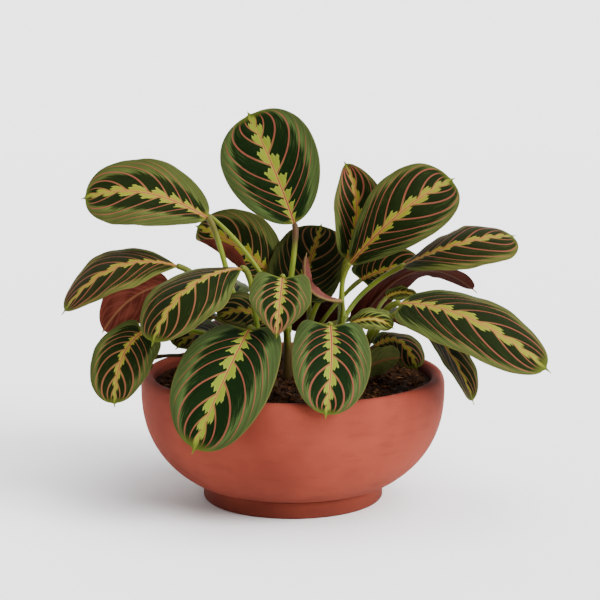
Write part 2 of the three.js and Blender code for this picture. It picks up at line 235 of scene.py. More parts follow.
def soft_light(name, toward, spread, strength):
    """A distant light that comes from a direction, spread over an angle in degrees, so that its shadows are soft."""
    light = bpy.data.lights.new(name, "SUN")
    light.angle = math.radians(spread)
    light.energy = strength
    made = bpy.data.objects.new(name, light)
    x, y, z = toward
    made.location = toward
    made.rotation_euler = (math.acos(z / math.hypot(x, y, z)), 0, math.atan2(x, -y))
    bpy.context.scene.collection.objects.link(made)


soft_light("overhead_light", (0.3, -0.15, 1.0), 70, 4.7)
soft_light("key_light", (0.8, -0.5, 0.5), 35, 7.3)


# The bowl is one piece of fired, unglazed red clay, turned and smoothed by hand: a foot ring, a round belly, a
# rolled lip and a hollow inside. It stands on the flat foot.
BOWL_RADIUS = 110
BOWL_HEIGHT = 92.5
WIDEST_AT = 82
BELLY_DEPTH = 83
BELLY_ROUNDNESS = 2.35
FOOT_RADIUS = 65.5
FOOT_HEIGHT = 12.4
LIP_RADIUS = 105
LIP_INSIDE = 4.5
LIP_ROUNDNESS = 2.4
MOUTH_RADIUS = 100.5
FLOOR_HEIGHT = 20


def belly(radius, drop, below):
    """Radius of a superellipse with the given reach and drop, at a height below its widest ring."""
    return radius * np.maximum(0, 1 - np.abs(below / drop) ** BELLY_ROUNDNESS) ** (1 / BELLY_ROUNDNESS)


def arc(radius, height, reach, rise, start, end, steps, power=2.0):
    """Points [radius, height] on part of an ellipse, or of a fuller curve if power is over 2, from one angle to
    another in degrees."""
    angle = np.radians(np.linspace(start, end, steps))
    c, s = np.cos(angle), np.sin(angle)
    full = lambda part: np.sign(part) * np.abs(part) ** (2 / power)
    return np.stack([radius + reach * full(c), height + rise * full(s)], -1)


def turned(profile, sides):
    """Points of a profile of [radius, height] carried round the Z axis, with a single point at each end on the
    axis, and the quads and triangles that close it. The profile runs from the bottom centre round the outside."""
    angle = np.arange(sides) * 2 * math.pi / sides
    rings = profile[1:-1]
    points = np.stack(
        np.broadcast_arrays(rings[:, :1] * np.cos(angle), rings[:, :1] * np.sin(angle), rings[:, 1:]), -1
    ).reshape(-1, 3)
    ends = np.array([[0, 0, profile[0, 1]], [0, 0, profile[-1, 1]]])
    here = np.arange(sides)
    after = (here + 1) % sides
    count = len(points)
    below = np.stack([np.full(sides, count), after, here], -1)
    last = count - sides
    above = np.stack([np.full(sides, count + 1), last + here, last + after], -1)
    return np.concatenate([points, ends]), grid_faces(len(rings), sides, closed=True), np.concatenate([below, above])


rise = FOOT_HEIGHT + (WIDEST_AT - FOOT_HEIGHT) * np.sin(np.linspace(0, 1, 40) * math.pi / 2) ** 1.1
outside = np.stack([belly(BOWL_RADIUS, BELLY_DEPTH, WIDEST_AT - rise), rise], -1)
inner_drop = BOWL_HEIGHT - LIP_INSIDE - FLOOR_HEIGHT
fall = np.linspace(0, 1, 26)[1:] ** 0.8
inside = np.stack([belly(MOUTH_RADIUS, inner_drop, inner_drop * fall), FLOOR_HEIGHT + inner_drop * (1 - fall)], -1)
bowl_profile = np.concatenate([
    [[0, 0.6], [FOOT_RADIUS - 9, 0.6], [FOOT_RADIUS - 7.6, 0.1], [FOOT_RADIUS - 6, 0]],  # a shallow hollow underneath
    arc(FOOT_RADIUS - 1.8, 1.8, 1.8, 1.8, -90, 0, 7),  # the foot's rounded lower edge
    [[FOOT_RADIUS, 4], [FOOT_RADIUS, 8], [FOOT_RADIUS - 0.1, 10.2]],
    arc(FOOT_RADIUS - 1.5, 11.0, 1.3, 1.1, 0, 70, 4),  # its upper edge and the corner under the belly
    [[FOOT_RADIUS - 0.4, 12.25], [FOOT_RADIUS + 1.2, 12.35]],
    outside[1:],
    arc(LIP_RADIUS, WIDEST_AT, BOWL_RADIUS - LIP_RADIUS, BOWL_HEIGHT - WIDEST_AT, 0, 90, 26, LIP_ROUNDNESS)[1:],
    arc(LIP_RADIUS, BOWL_HEIGHT - LIP_INSIDE, LIP_RADIUS - MOUTH_RADIUS, LIP_INSIDE, 90, 180, 12)[1:],
    inside,
])
bowl_profile[-1, 0] = 0
bowl = piece("bowl_clay", *turned(bowl_profile, 192))

clay = Finish("fired_clay", Specular_IOR_Level=0.12)
place = clay.place()
x, y, z = clay.parts(place)
cloud = clay.noise(place, 0.07, 3.0, 0.55)
speckle = clay.noise(place, 0.0011, 3.0, 0.7)
drift = clay.noise(clay.three(x * 0.25, y * 0.25, z), 0.006, 3.0, 0.6)
colour = clay.paint(srgb(104, 42, 30), srgb(122, 53, 38), cloud.rises(0.35, 0.68))
colour = clay.paint(colour, srgb(84, 33, 24), 0.22 * drift.rises(0.5, 0.72))
colour = clay.paint(colour, srgb(140, 80, 60), 0.14 * speckle.rises(0.62, 0.76))
# painted shade: the clay is darkened towards the foot, for the shade where the bowl meets the floor
colour = clay.paint(colour, srgb(70, 28, 20), 0.6 * z.falls(0.002, 0.02))
# painted shade: the inner wall of the mouth, above the soil, is painted a darker brown for the shade that the lip and
# the leaves cast into the bowl
within = (x * x + y * y).math("SQRT").falls(MOUTH_RADIUS / 1000 - 0.001, MOUTH_RADIUS / 1000 + 0.001)
mouth_shade = within * z.rises(0.06, 0.066)
colour = clay.paint(colour, srgb(60, 32, 26), 0.7 * mouth_shade)
scrape = clay.noise(clay.three(x * 0.06, y * 0.06, z), 0.0014, 2.0, 0.5)
grain = clay.noise(place, 0.0006, 4.0, 0.7)
clay.finish(colour, 0.78 + 0.14 * cloud, 0.6 * grain + 0.5 * scrape + 0.6 * speckle, 0.00012)
bowl.data.materials.append(clay.material)
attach(bowl, "root")
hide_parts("bowl")


# The soil is a loose mix of dark peat, bark and a few tan wood chips, filled to a finger's breadth under the rim
# and left in a low mound. The stems stand in it.
SOIL_EDGE_HEIGHT = 85
SOIL_MOUND = 3
SOIL_LUMP = 0.8
SOIL_RADIUS = 99.7
SOIL_RINGS = 84
FADE_AT_WALL = 6
CRUMBS = 950
CHIPS = 120


def soil_height(x, y):
    """Height of the soil: a low mound with a few broad lumps that die out towards the wall."""
    share = np.sqrt(x * x + y * y) / MOUTH_RADIUS
    lumps = np.sin(x / 9 + 1) * np.cos(y / 11) + np.sin(x / 17 - y / 13)
    return SOIL_EDGE_HEIGHT + SOIL_MOUND * (1 - share**2) + SOIL_LUMP * lumps * (1 - share)


def roughness_of(x, y, size, seed):
    """Bilinear noise from -1 to 1 on a lattice of the given size, from a seeded table of 64 by 64 values."""
    table = np.random.default_rng(seed).uniform(-1, 1, (64, 64))
    u, v = x / size + 1000, y / size + 1000
    i, j = np.floor(u).astype(int), np.floor(v).astype(int)
    a, b = u - i, v - j
    a, b = a * a * (3 - 2 * a), b * b * (3 - 2 * b)
    pick = lambda di, dj: table[(i + di) % 64, (j + dj) % 64]
    return (pick(0, 0) * (1 - a) + pick(1, 0) * a) * (1 - b) + (pick(0, 1) * (1 - a) + pick(1, 1) * a) * b


def crumbled(x, y):
    """The soil's height with its crumbs: three sizes of noise on the mound, fading to nothing at the wall."""
    fade = np.clip((SOIL_RADIUS - np.hypot(x, y)) / FADE_AT_WALL, 0, 1)
    rough = 1.5 * roughness_of(x, y, 7, 1) + 1.1 * roughness_of(x, y, 3.1, 2) + 0.8 * roughness_of(x, y, 1.5, 3)
    return soil_height(x, y) + rough * fade * 0.8


buried = [[0, 24], [60, 24], [80, 36], [92, 56], [97.6, 72], [99.2, 80]]
top_rings = np.stack([np.linspace(SOIL_RADIUS, 0, SOIL_RINGS), np.full(SOIL_RINGS, SOIL_EDGE_HEIGHT)], -1)
points, quads, fans = turned(np.concatenate([buried, top_rings]), 260)
on_top = points[:, 2] > SOIL_EDGE_HEIGHT - 1
points[on_top, 2] = crumbled(points[on_top, 0], points[on_top, 1])
soil = piece("soil_mix", points, quads, fans)


# crumbs and chips: one small uneven solid, repeated with its own size, turn and place each time
def scattered(count, smallest, largest, flat, seed):
    """Points and triangles of many small uneven solids lying on the soil: an icosahedron whose corners are pushed
    in and out, stretched, turned at random, and sunk by part of its height."""
    g = (1 + math.sqrt(5)) / 2
    corners = np.array([
        [-1, g, 0], [1, g, 0], [-1, -g, 0], [1, -g, 0], [0, -1, g], [0, 1, g],
        [0, -1, -g], [0, 1, -g], [g, 0, -1], [g, 0, 1], [-g, 0, -1], [-g, 0, 1],
    ]) / math.hypot(1, g)
    sides = np.array([
        [0, 11, 5], [0, 5, 1], [0, 1, 7], [0, 7, 10], [0, 10, 11], [1, 5, 9], [5, 11, 4], [11, 10, 2], [10, 7, 6],
        [7, 1, 8], [3, 9, 4], [3, 4, 2], [3, 2, 6], [3, 6, 8], [3, 8, 9], [4, 9, 5], [2, 4, 11], [6, 2, 10],
        [8, 6, 7], [9, 8, 1],
    ])
    chance = np.random.default_rng(seed)
    size = chance.uniform(smallest, largest, (count, 1, 1)) * chance.uniform(0.6, 1, (count, 1, 1))
    limits = ((1, 1.9), (0.6, 1), (flat, flat * 1.8))  # long, wide and high
    stretch = np.stack([chance.uniform(*both, count) for both in limits], -1)
    shape = corners[None] * chance.uniform(0.72, 1.25, (count, 12, 1)) * stretch[:, None] * size
    tilt, spin = chance.uniform(-0.5, 0.5, (count, 1)), chance.uniform(0, 2 * math.pi, (count, 1))
    a = shape[..., 0] * np.cos(tilt) - shape[..., 2] * np.sin(tilt)
    c = shape[..., 0] * np.sin(tilt) + shape[..., 2] * np.cos(tilt)
    x = a * np.cos(spin) - shape[..., 1] * np.sin(spin)
    y = a * np.sin(spin) + shape[..., 1] * np.cos(spin)
    out = np.sqrt(chance.uniform(0, 1, (count, 1))) * (SOIL_RADIUS - 4.5)
    bearing = chance.uniform(0, 2 * math.pi, (count, 1))
    px, py = out * np.cos(bearing), out * np.sin(bearing)
    pz = crumbled(px, py) + size[..., 0] * flat * 0.35
    solid = np.stack([x + px, y + py, c + pz], -1).reshape(-1, 3)
    return solid, (sides[None] + 12 * np.arange(count)[:, None, None]).reshape(-1, 3)


crumbs = piece("soil_crumbs", *scattered(CRUMBS, 0.9, 2.6, 0.6, 11), smooth=False)
chips = piece("soil_chips", *scattered(CHIPS, 1.4, 3.6, 0.22, 12), smooth=False)


def earthy(name, dark, light):
    """Damp peat: a dark ground with paler fibres and grit in it."""
    earth = Finish(name, Specular_IOR_Level=0.04)
    place = earth.place()
    clumps = earth.noise(place, 0.004, 4.0, 0.65)
    grit = earth.noise(place, 0.0009, 3.0, 0.7)
    fleck = earth.noise(place, 0.0022, 1.0, 0.5)
    colour = earth.paint(srgb(*dark), srgb(*light), clumps.rises(0.4, 0.68))
    colour = earth.paint(colour, srgb(96, 60, 36), 0.7 * fleck.rises(0.64, 0.7))
    return earth.finish(earth.shade(colour, 0.6 + 0.8 * grit), 0.75 + 0.2 * clumps, 0.7 * clumps + grit, 0.0008)


soil.data.materials.append(earthy("peat", (27, 16, 8), (58, 36, 20)))
crumbs.data.materials.append(earthy("peat_crumbs", (34, 20, 10), (78, 48, 28)))
chips.data.materials.append(earthy("wood_chips", (80, 50, 28), (134, 90, 54)))
for part in (soil, crumbs, chips):
    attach(part, "root")
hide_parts("soil")


# The stems come out of the soil in eight shoots. Each carries round stalks that clasp it at their foot, arch
# outwards, and end in a short swollen joint under the blade. All of it is fresh green plant tissue, grown together.
STALK_RADIUS = 1.1  # of a stalk with no blade to carry
STALK_GAIN = 0.015  # what it gains for each millimetre of its blade's width
LOWEST_STALK = 0.35
HIGHEST_STALK = 0.97
CLEARANCE = 0.3
STEM_DEPTH = 10  # how far the visible stem runs on under the soil's surface
FAR_FROM_TOP = 60.0  # what counts as far from a stalk's top
JOINT_LENGTH = 11  # the swollen joint at the top of a stalk
JOINT_SWELL = 0.35
SHEATH_SHARE = 0.16  # how much of a stalk is the sheath that clasps its stem
SHEATH_SWELL = 1.0
END_ROUND = 1.2  # the rounded end of a stalk, under its blade
END_NARROWS = 0.35

SHOOTS = {
    "left": dict(foot=(-28, -12), top=(-34, -12, 122), radius=3.4),
    "front_left": dict(foot=(-14, -34), top=(-20, -38, 112), radius=3),
    "middle": dict(foot=(-4, -8), top=(-4, -10, 124), radius=3.4),
    "front": dict(foot=(20, -34), top=(22, -38, 112), radius=3),
    "right": dict(foot=(30, -8), top=(36, -10, 136), radius=3.4),
    "right_front": dict(foot=(46, -26), top=(50, -28, 112), radius=3),
    "back": dict(foot=(12, 28), top=(12, 34, 118), radius=3.4),
    "back_left": dict(foot=(-30, 22), top=(-36, 28, 116), radius=3),
}


def leaf(base, middle, tip, width, broadest, face, fold, curl, lobe, lead, rise, neck=0, slim=0):
    """One leaf: points on its midrib, then its blade's size and turn. face is where the upper side looks: degrees
    round from the front, then above level. fold and curl are degrees for the left and the right half. lobe is how
    far its base is drawn back. lead and rise are how far its stalk runs in line with the blade and with the stem.
    neck and slim are the shares by which the outline is drawn in at the base and at the tip."""
    return dict(
        base=base, middle=middle, tip=tip, width=width, broadest=broadest, face=face, fold=fold, curl=curl,
        lobe=lobe, lead=lead, rise=rise, neck=neck, slim=slim,
    )


BROWN_TOPS = {"top_centre": 0.9, "upper_left": 0.55}  # how brown a stalk's top is
GREEN_TOP = 0.1  # and any other's

# the leaves of each shoot, lowest first
LEAVES = {
    "left": {
        "left_back": leaf(
            (-14.3, 20.5, 158.5), (-43, 27, 181), (-72, 34, 194),
            61, 0.5, (20, 30), (-62, 4), (208, 0), 0, 12, 10, 0, 0.3,
        ),
        "left_under": leaf(
            (-88, -10, 159), (-116, -8, 147), (-136, -20, 124),
            50, 0.5, (-150, 30), (0, 0), (-8, -8), 3, 20, 20,
        ),
        "mid_left": leaf(
            (-83, -10, 171), (-127, -22, 171), (-163, -30, 139),
            60, 0.5, (-50, 60), (-12, 5), (-4, -4), 0, 22, 20, 0.6, 0.3,
        ),
        "upper_left": leaf(
            (-61, -6, 205), (-108, 4, 222), (-153, 14, 216),
            66, 0.56, (-10, 50), (6, 6), (-7, -7), 2, 8, 40, 0.3, 0,
        ),
    },
    "front_left": {
        "left_hidden": leaf(
            (-103, -24, 105), (-114, -30, 97), (-125, -34, 84),
            22, 0.5, (-40, 50), (0, 0), (-10, -10), 2, 22, 4,
        ),
        "inner_low_left": leaf(
            (-42, -14, 114), (-63, -28, 126), (-82, -44, 117),
            42, 0.5, (-20, 60), (5, 5), (-11, -11), 4, 10, 8,
        ),
        "inner_left": leaf(
            (-16, -22, 129), (-34, -29, 142), (-53, -36, 137),
            32, 0.5, (-10, 40), (5, 5), (-14, -14), 4, 10, 8,
        ),
        "low_left": leaf(
            (-104, -46, 130), (-118, -62, 114), (-122, -76, 83),
            45, 0.5, (-15, 30), (5, 5), (-10, -10), 7, 24, 14,
        ),
        "front_left": leaf(
            (-30, -58, 134), (-46, -98, 107), (-67, -114, 60),
            69, 0.5, (-14, 25), (14, 10), (-13, -13), 9, 10, 10,
        ),
        "centre_left": leaf(
            (-36, -40, 174), (-73, -68, 163), (-95, -88, 128),
            66, 0.5, (-30, 50), (-8, -18), (-3, -3), 0, 12, 20, 0.7, 0.1,
        ),
    },
    "middle": {
        "centre_small": leaf(
            (-7, -57, 170), (-9, -75, 153), (-11, -81, 132),
            43, 0.4, (0, 30), (16, 16), (-16, -16), 6, 10, 20, 0, 0.85,
        ),
        "centre_back": leaf(
            (1, 6, 146), (13, 26, 171), (21, 46, 194),
            54, 0.46, (0, 40), (8, 8), (0, 0), 4, 14, 10, -0.35, 0,
        ),
        "upper_left_back": leaf(
            (-64, 3, 207), (-99, 34, 212), (-131, 62, 203),
            40, 0.5, (-30, 60), (5, 5), (-10, -10), 0, 30, 30, 0.6, 0,
        ),
        "top_centre": leaf(
            (1, 0, 200), (-15, 12, 241), (-33, 28, 278),
            70, 0.58, (-4, 14), (8, 8), (-6, -6), 1, 10, 34,
        ),
    },
    "front": {
        "front_centre": leaf(
            (26, -60, 137), (26, -98, 117), (22, -116, 85),
            54, 0.44, (5, 30), (14, 14), (-17, -17), 9, 10, 10,
        ),
    },
    "right": {
        "young": leaf(
            (34, -18, 147), (12, -24, 157), (10, -16, 181),
            11, 0.5, (148, 10), (72, 72), (0, 0), 0, 4, 2,
        ),
        "right_level": leaf(
            (80.1, 2, 169.6), (119.8, -8, 187), (160.3, 6, 190.5),
            57, 0.66, (10, 70), (4, 0), (-24, -24), 2, 38, 24, -0.5, 0,
        ),
        "upper_right_back": leaf(
            (39, 9, 173), (46, 17, 211), (37, 27, 242),
            47, 0.42, (-4, 10), (62, 25), (0, 0), 1, 16, 4, 0, 0.6,
        ),
        "upper_right": leaf(
            (41, -6, 172), (78, -14, 211), (116, 6, 232),
            55.5, 0.6, (-10, 25), (8, 8), (-7, -7), 1, 16, 4, 0.3, 0,
        ),
    },
    "right_front": {
        "right_inner": leaf(
            (50, -43, 104), (63, -39, 108.5), (76, -35, 109.5),
            26, 0.5, (170, 30), (0, 0), (0, 0), 2, 4, 2,
        ),
        "right_rim": leaf(
            (59, -16, 114), (77, -12, 116), (89, -18, 96),
            38, 0.5, (10, 70), (-10, -8), (-8, -10), 2, 8, 6,
        ),
        "right_small": leaf(
            (68, -3, 147), (79, 0, 150), (91, 3, 146),
            16, 0.5, (0, 60), (5, 5), (-10, -10), 1, 12, 10,
        ),
        "low_right": leaf(
            (79, -26, 139), (107, -42, 118), (127, -52, 79),
            42, 0.58, (68, 30), (30, 6), (-6, -4), 7, 12, 10,
        ),
        "small_light": leaf(
            (40, -44, 135), (56, -52, 140), (70, -56, 134),
            20, 0.5, (0, 50), (15, 15), (-10, -10), 2, 6, 4,
        ),
        "right_front": leaf(
            (75, -44, 150), (124, -66, 142), (176, -80, 108),
            70, 0.5, (20, 57), (-10, 2), (-7, -7), 4, 14, 14,
        ),
    },
    "back": {
        "right_under": leaf(
            (47, 60, 113), (88, 26, 161), (135.5, 28, 145),
            36, 0.5, (180, 66), (0, 0), (0, 0), 2, 12, 6,
        ),
        "right_behind": leaf(
            (51, 50, 151), (73, 60, 158), (100, 66, 161),
            44, 0.5, (-10, 55), (8, 8), (0, 0), 4, 12, 12,
        ),
        "back_right_low": leaf(
            (52, 74, 120), (82, 97, 121), (104, 116, 97),
            62, 0.52, (140, 60), (-6, -6), (-7, -7), 6, 16, 14,
        ),
        "back_middle": leaf(
            (12, 60, 137), (11, 85, 123), (7, 102, 99),
            56, 0.55, (180, 40), (-6, -6), (-7, -7), 6, 16, 8,
        ),
        "back_right_high": leaf(
            (52, 46, 180), (70, 70, 194), (88, 96, 184),
            58, 0.52, (140, 60), (8, 8), (-8, -8), 4, 14, 20,
        ),
    },
    "back_left": {
        "back_left_low": leaf(
            (-58, 50, 122), (-90, 66, 124), (-118, 80, 98),
            60, 0.52, (-120, 60), (-6, -6), (-8, -8), 6, 16, 8,
        ),
        "back_low": leaf(
            (-29, 65, 117), (-41, 99, 114), (-49, 127, 89),
            48, 0.52, (-170, 60), (-6, -6), (-8, -8), 6, 14, 8,
        ),
        "back_left": leaf(
            (-46, 54, 140), (-70, 84, 146), (-92, 110, 124),
            62, 0.52, (-140, 60), (-6, -6), (-7, -7), 6, 16, 24,
        ),
    },
}


def curve(points, share):
    """Points and unit tangents of a Bezier curve with three or four control points, at shares of its parameter."""
    points = np.asarray(points, float)
    degree = len(points) - 1
    share = np.asarray(share, float)[..., None]
    weigh = lambda n, k: math.comb(n, k) * share**k * (1 - share) ** (n - k)
    place = sum(weigh(degree, k) * points[k] for k in range(degree + 1))
    slope = sum(weigh(degree - 1, k) * (points[k + 1] - points[k]) for k in range(degree))
    return place, slope / np.linalg.norm(slope, axis=-1, keepdims=True)


def midrib(size):
    """Control points of the parabola through a leaf's base, middle and tip."""
    base, middle, tip = (np.array(size[key], float) for key in ("base", "middle", "tip"))
    return base, 2 * middle - (base + tip) / 2, tip


def tube(path, tangent, radius, sides):
    """A round tube along a path, closed by a point at each end: rings square to the path, turned as little as
    possible from one to the next, with a radius for each. Gives points, quads, triangles, and each point's ring."""
    side = np.zeros_like(path)
    side[0] = np.cross(tangent[0], [1, 0.2, 0])
    for i in range(1, len(path)):  # each ring's turn follows from the ring before it
        side[i] = side[i - 1] - tangent[i] * (side[i - 1] @ tangent[i])
    side /= np.linalg.norm(side, axis=1, keepdims=True)
    other = np.cross(tangent, side)
    angle = np.arange(sides) * 2 * math.pi / sides
    rings = path[:, None] + radius[:, None, None] * (
        side[:, None] * np.cos(angle)[:, None] + other[:, None] * np.sin(angle)[:, None]
    )
    ends = np.stack([path[0] - tangent[0] * radius[0] * 0.5, path[-1] + tangent[-1] * radius[-1] * 0.3])
    points = np.concatenate([rings.reshape(-1, 3), ends])
    here = np.arange(sides)
    after = (here + 1) % sides
    count, last = len(path) * sides, (len(path) - 1) * sides
    caps = np.concatenate([
        np.stack([np.full(sides, count), after, here], -1),
        np.stack([np.full(sides, count + 1), last + here, last + after], -1),
    ])
    ring = np.concatenate([np.repeat(np.arange(len(path)), sides), [0, len(path) - 1]])
    return points, grid_faces(len(path), sides, closed=True), caps, ring


def joined(parts):
    """Several closed surfaces as one: their points, quads, triangles and a value for each point."""
    count = np.cumsum([0] + [len(part[0]) for part in parts])
    stack = lambda k: np.concatenate([part[k] + count[i] for i, part in enumerate(parts)])
    return np.concatenate([part[0] for part in parts]), stack(1), stack(2), np.concatenate([p[3] for p in parts])


def mark(made, name, values):
    """Gives each point of a piece three values that its material reads."""
    layer = made.data.attributes.new(name, "FLOAT_VECTOR", "POINT")
    layer.data.foreach_set("vector", np.asarray(values, float).ravel())


def stem_parts(size, leaves):
    """The stem and stalks of one shoot. A point's values are how far along its stalk it lies, how far it is from
    the stalk's top in millimetres, and how brown the stalk's top is."""
    foot, top, radius = np.array(size["foot"], float), np.array(size["top"], float), size["radius"]
    ground = soil_height(*foot)
    shaft = [[*foot, ground + 1], [*foot, (ground + top[2]) / 2], top]
    share = np.linspace(0, 1, 24)
    path, tangent = curve(shaft, share)
    below = np.array([[*foot, ground - STEM_DEPTH], [*foot, ground - 3]])
    path = np.concatenate([below, path])
    tangent = np.concatenate([[[0, 0, 1]] * 2, tangent])
    swell = np.concatenate([[0, 0], 0.5 * np.exp(-share / 0.12) - 0.9 * share**3])
    points, quads, caps, ring = tube(path, tangent, radius + swell, 20)
    values = np.tile([0, FAR_FROM_TOP, 0], (len(ring), 1))
    parts = [(points, quads, caps, values)]
    step = (HIGHEST_STALK - LOWEST_STALK) / max(1, len(leaves) - 1)
    for i, one in enumerate(leaves):
        start, up = curve(shaft, HIGHEST_STALK - step * (len(leaves) - 1 - i))
        _, into = curve(midrib(one), 0.0)
        end = np.array(one["base"], float) - into * CLEARANCE
        share = np.linspace(0, 1, 56)
        path, tangent = curve([start, start + up * one["rise"], end - into * one["lead"], end], share)
        run = np.concatenate([[0], np.cumsum(np.linalg.norm(np.diff(path, axis=0), axis=1))])
        left = run[-1] - run
        swell = JOINT_SWELL * (1 / (1 + np.exp((left - JOINT_LENGTH) / 0.8))) - 0.25 * share
        swell += SHEATH_SWELL * np.exp(-((share / SHEATH_SHARE) ** 2))
        swell -= END_NARROWS * np.clip(1 - left / END_ROUND, 0, 1)
        points, quads, caps, ring = tube(path, tangent, STALK_RADIUS + STALK_GAIN * one["width"] + swell, 16)
        values = np.stack([share[ring], left[ring], np.full(len(ring), one["brown"])], -1)
        parts.append((points, quads, caps, values))
    return joined(parts)


stalk_skin = Finish("stalk_skin", Specular_IOR_Level=0.1)
along, left, brown = stalk_skin.marked("stalk")
place = stalk_skin.place()
tone = stalk_skin.noise(place, 0.03, 2.0, 0.5)
fibre = stalk_skin.noise(place, 0.0012, 3.0, 0.6)
height = stalk_skin.parts(place)[2]
colour = stalk_skin.paint(srgb(68, 82, 16), srgb(90, 100, 24), tone.rises(0.35, 0.65))
colour = stalk_skin.paint(colour, srgb(94, 100, 34), 0.4 * along.falls(0.0, 0.18))
colour = stalk_skin.paint(colour, srgb(82, 72, 32), 0.25 * left.falls(JOINT_LENGTH - 3, JOINT_LENGTH + 3))
colour = stalk_skin.paint(colour, srgb(60, 36, 24), brown * left.falls(8, 24))
colour = stalk_skin.paint(colour, srgb(50, 26, 18), 0.85 * height.falls(0.105, 0.135))
stalk_skin.finish(stalk_skin.shade(colour, 0.85 + 0.3 * fibre), 0.42 + 0.15 * fibre, fibre, 0.0002)

for name, size in SHOOTS.items():
    leaves = [dict(one, brown=BROWN_TOPS.get(key, GREEN_TOP)) for key, one in LEAVES[name].items()]
    points, quads, caps, values = stem_parts(size, leaves)
    stem = piece("green_stem_" + name, points, quads, caps)
    mark(stem, "stalk", values)
    stem.data.materials.append(stalk_skin.material)
    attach(stem, "root")
    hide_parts("stem_" + name)


# The blades are thin living sheets that grow out flat from the rolled bud, one to a stalk: a midrib, arched side
# veins, and tissue that is quilted between them. The upper side is patterned and the underside is maroon.
BASE_HALF = 2.4  # half width where the stalk joins
TIP_HALF = 0.35
ROUNDNESS = 2.15  # power of the outline's superellipse
BODY_SHARE = 0.965  # how much of the length is the oval; the rest is the point
TAPER = 1.1
NECK_POWER = 2
SLIM_POWER = 1.5
MIDRIB_ROUND = 2  # radius of the trough at the midrib
FOLD_FADE = 0.5  # how far the fold has opened at the tip
LOBE_AT = 0.1
EDGE_WAVE = 0.8
EDGE_WAVES = 2.5
WAVE_SHIFT = 1.7  # from one blade to the next
EDGE_RIPPLE = 0.2
EDGE_RIPPLES = 6.3
HALF_THICKNESS = 0.26
EDGE_THINNING = 0.7
RIB_DEPTH = 1.5  # how far the midrib stands out under the blade where the stalk joins it
RIB_HALF = 1.5
GROOVE_DEPTH = 0.25  # the midrib's groove in the upper side
GROOVE_HALF = 0.9
VEINS = 8.8  # side veins on each half
VEIN_SWAY = 0.06  # how much their spacing varies
VEIN_LEAN = 0.15  # how far towards the tip a vein from the base runs
VEIN_SPREAD = 0.4  # and how much further one from the tip does
VEIN_BOW = 0.4
VEIN_BOW_POWER = 3.2
RIGHT_SHIFT = 0.45  # of the veins on the right half, in spaces between them
QUILT = 0.32  # how far the blade bulges between two side veins
QUILT_EDGE = 0.16  # how near a vein the bulge starts, in spaces
OFFSET_STEP = 0.618  # from one blade's veins to the next one's, in spaces

# what differs from blade to blade: its lightness, which is partly its own tone and partly painted shade, darker for
# blades that lie in the shade of others, such as centre_back, inner_left and inner_low_left; how olive its greens are,
# which is partly its own tint and partly a painted sheen on blades seen at a slant; and how red its veins are
LOOKS = {
    "top_centre": (0.9, 0.1, 1), "upper_left": (1, 0.5, 1), "mid_left": (1.08, 0.85, 1),
    "left_back": (0.95, 0.6, 0.8), "centre_left": (1.08, 0.5, 0.9), "low_left": (0.95, 0.4, 0.9),
    "centre_small": (1.05, 0.2, 0.9), "front_left": (1, 0, 1), "front_centre": (1, 0.05, 1),
    "upper_right": (0.85, 0.5, 1), "right_level": (1, 0.8, 1), "upper_right_back": (0.95, 0.5, 1),
    "right_front": (0.92, 0.5, 1), "low_right": (0.85, 0.5, 0.8), "centre_back": (0.4, 0.6, 0.8),
    "right_behind": (0.7, 0.4, 0.9), "right_inner": (1.1, 0.7, 0.2), "small_light": (1.3, 0.5, 0),
    "right_small": (1.1, 0.5, 0), "left_under": (1.45, 0.3, 0.9), "right_under": (0.6, 0.3, 0.9),
    "inner_left": (0.4, 0.4, 0.6), "inner_low_left": (0.45, 0.4, 0.6), "back_middle": (0.6, 0.3, 0.9),
}
PLAIN_LOOK = (0.85, 0.3, 0.9)

# how far out the dark ground reaches, how long the lobes are, and how far out the red veins run, in half widths
ZONES = {
    "top_centre": (0.68, 0.92, 0.92), "upper_left": (0.52, 0.85, 0.94), "mid_left": (0.78, 0.75, 0.97),
    "left_back": (0.62, 0.9, 0.92), "centre_left": (0.78, 0.56, 0.95), "low_left": (0.7, 0.6, 0.92),
    "centre_small": (0.56, 0.82, 0.92), "upper_right": (0.78, 0.8, 0.96), "right_level": (0.8, 0.72, 0.97),
    "upper_right_back": (0.74, 0.8, 0.95), "right_front": (0.78, 0.85, 0.97), "low_right": (0.74, 0.66, 0.95),
    "centre_back": (0.82, 0.5, 0.92), "right_behind": (0.76, 0.66, 0.95), "small_light": (0.5, 0.6, 0.8),
}
PLAIN_ZONE = (0.62, 0.86, 0.92)

ROWS = 92
COLUMNS = 49


def half_width(size, along):
    """Half width of a blade at a share of its length: a superellipse that is drawn in by its neck before the
    widest place and by its slimness past it, with the end drawn out to a point."""
    q = 1 - 2 * np.minimum(1, along / BODY_SHARE) ** (math.log(0.5) / math.log(size["broadest"]))
    oval = np.maximum(0, 1 - np.abs(q) ** ROUNDNESS) ** (1 / ROUNDNESS)
    drawn_out = np.where(along > 0.5, np.minimum(1, TAPER * (1 - along)), 0)
    least = BASE_HALF + (TIP_HALF - BASE_HALF) * along
    before = np.clip(1 - along / size["broadest"], 0, 1)
    past = np.clip((along - size["broadest"]) / (1 - size["broadest"]), 0, 1)
    drawn_in = size["neck"] * before**NECK_POWER + size["slim"] * past**SLIM_POWER
    return np.maximum(size["width"] / 2 * np.maximum(oval * (1 - drawn_in), drawn_out), least)


def vein_count(along, across, offset):
    """A number that passes a whole value at each side vein: veins leave the midrib at a slant that grows along it
    and bow towards the tip, and those on the right lie half way between those on the left."""
    out = np.abs(across)
    start = (along - VEIN_LEAN * out - VEIN_BOW * out**VEIN_BOW_POWER) / (1 + VEIN_SPREAD * out)
    return VEINS * (start + VEIN_SWAY * np.sin(2 * math.pi * start)) + offset + RIGHT_SHIFT * (across > 0)


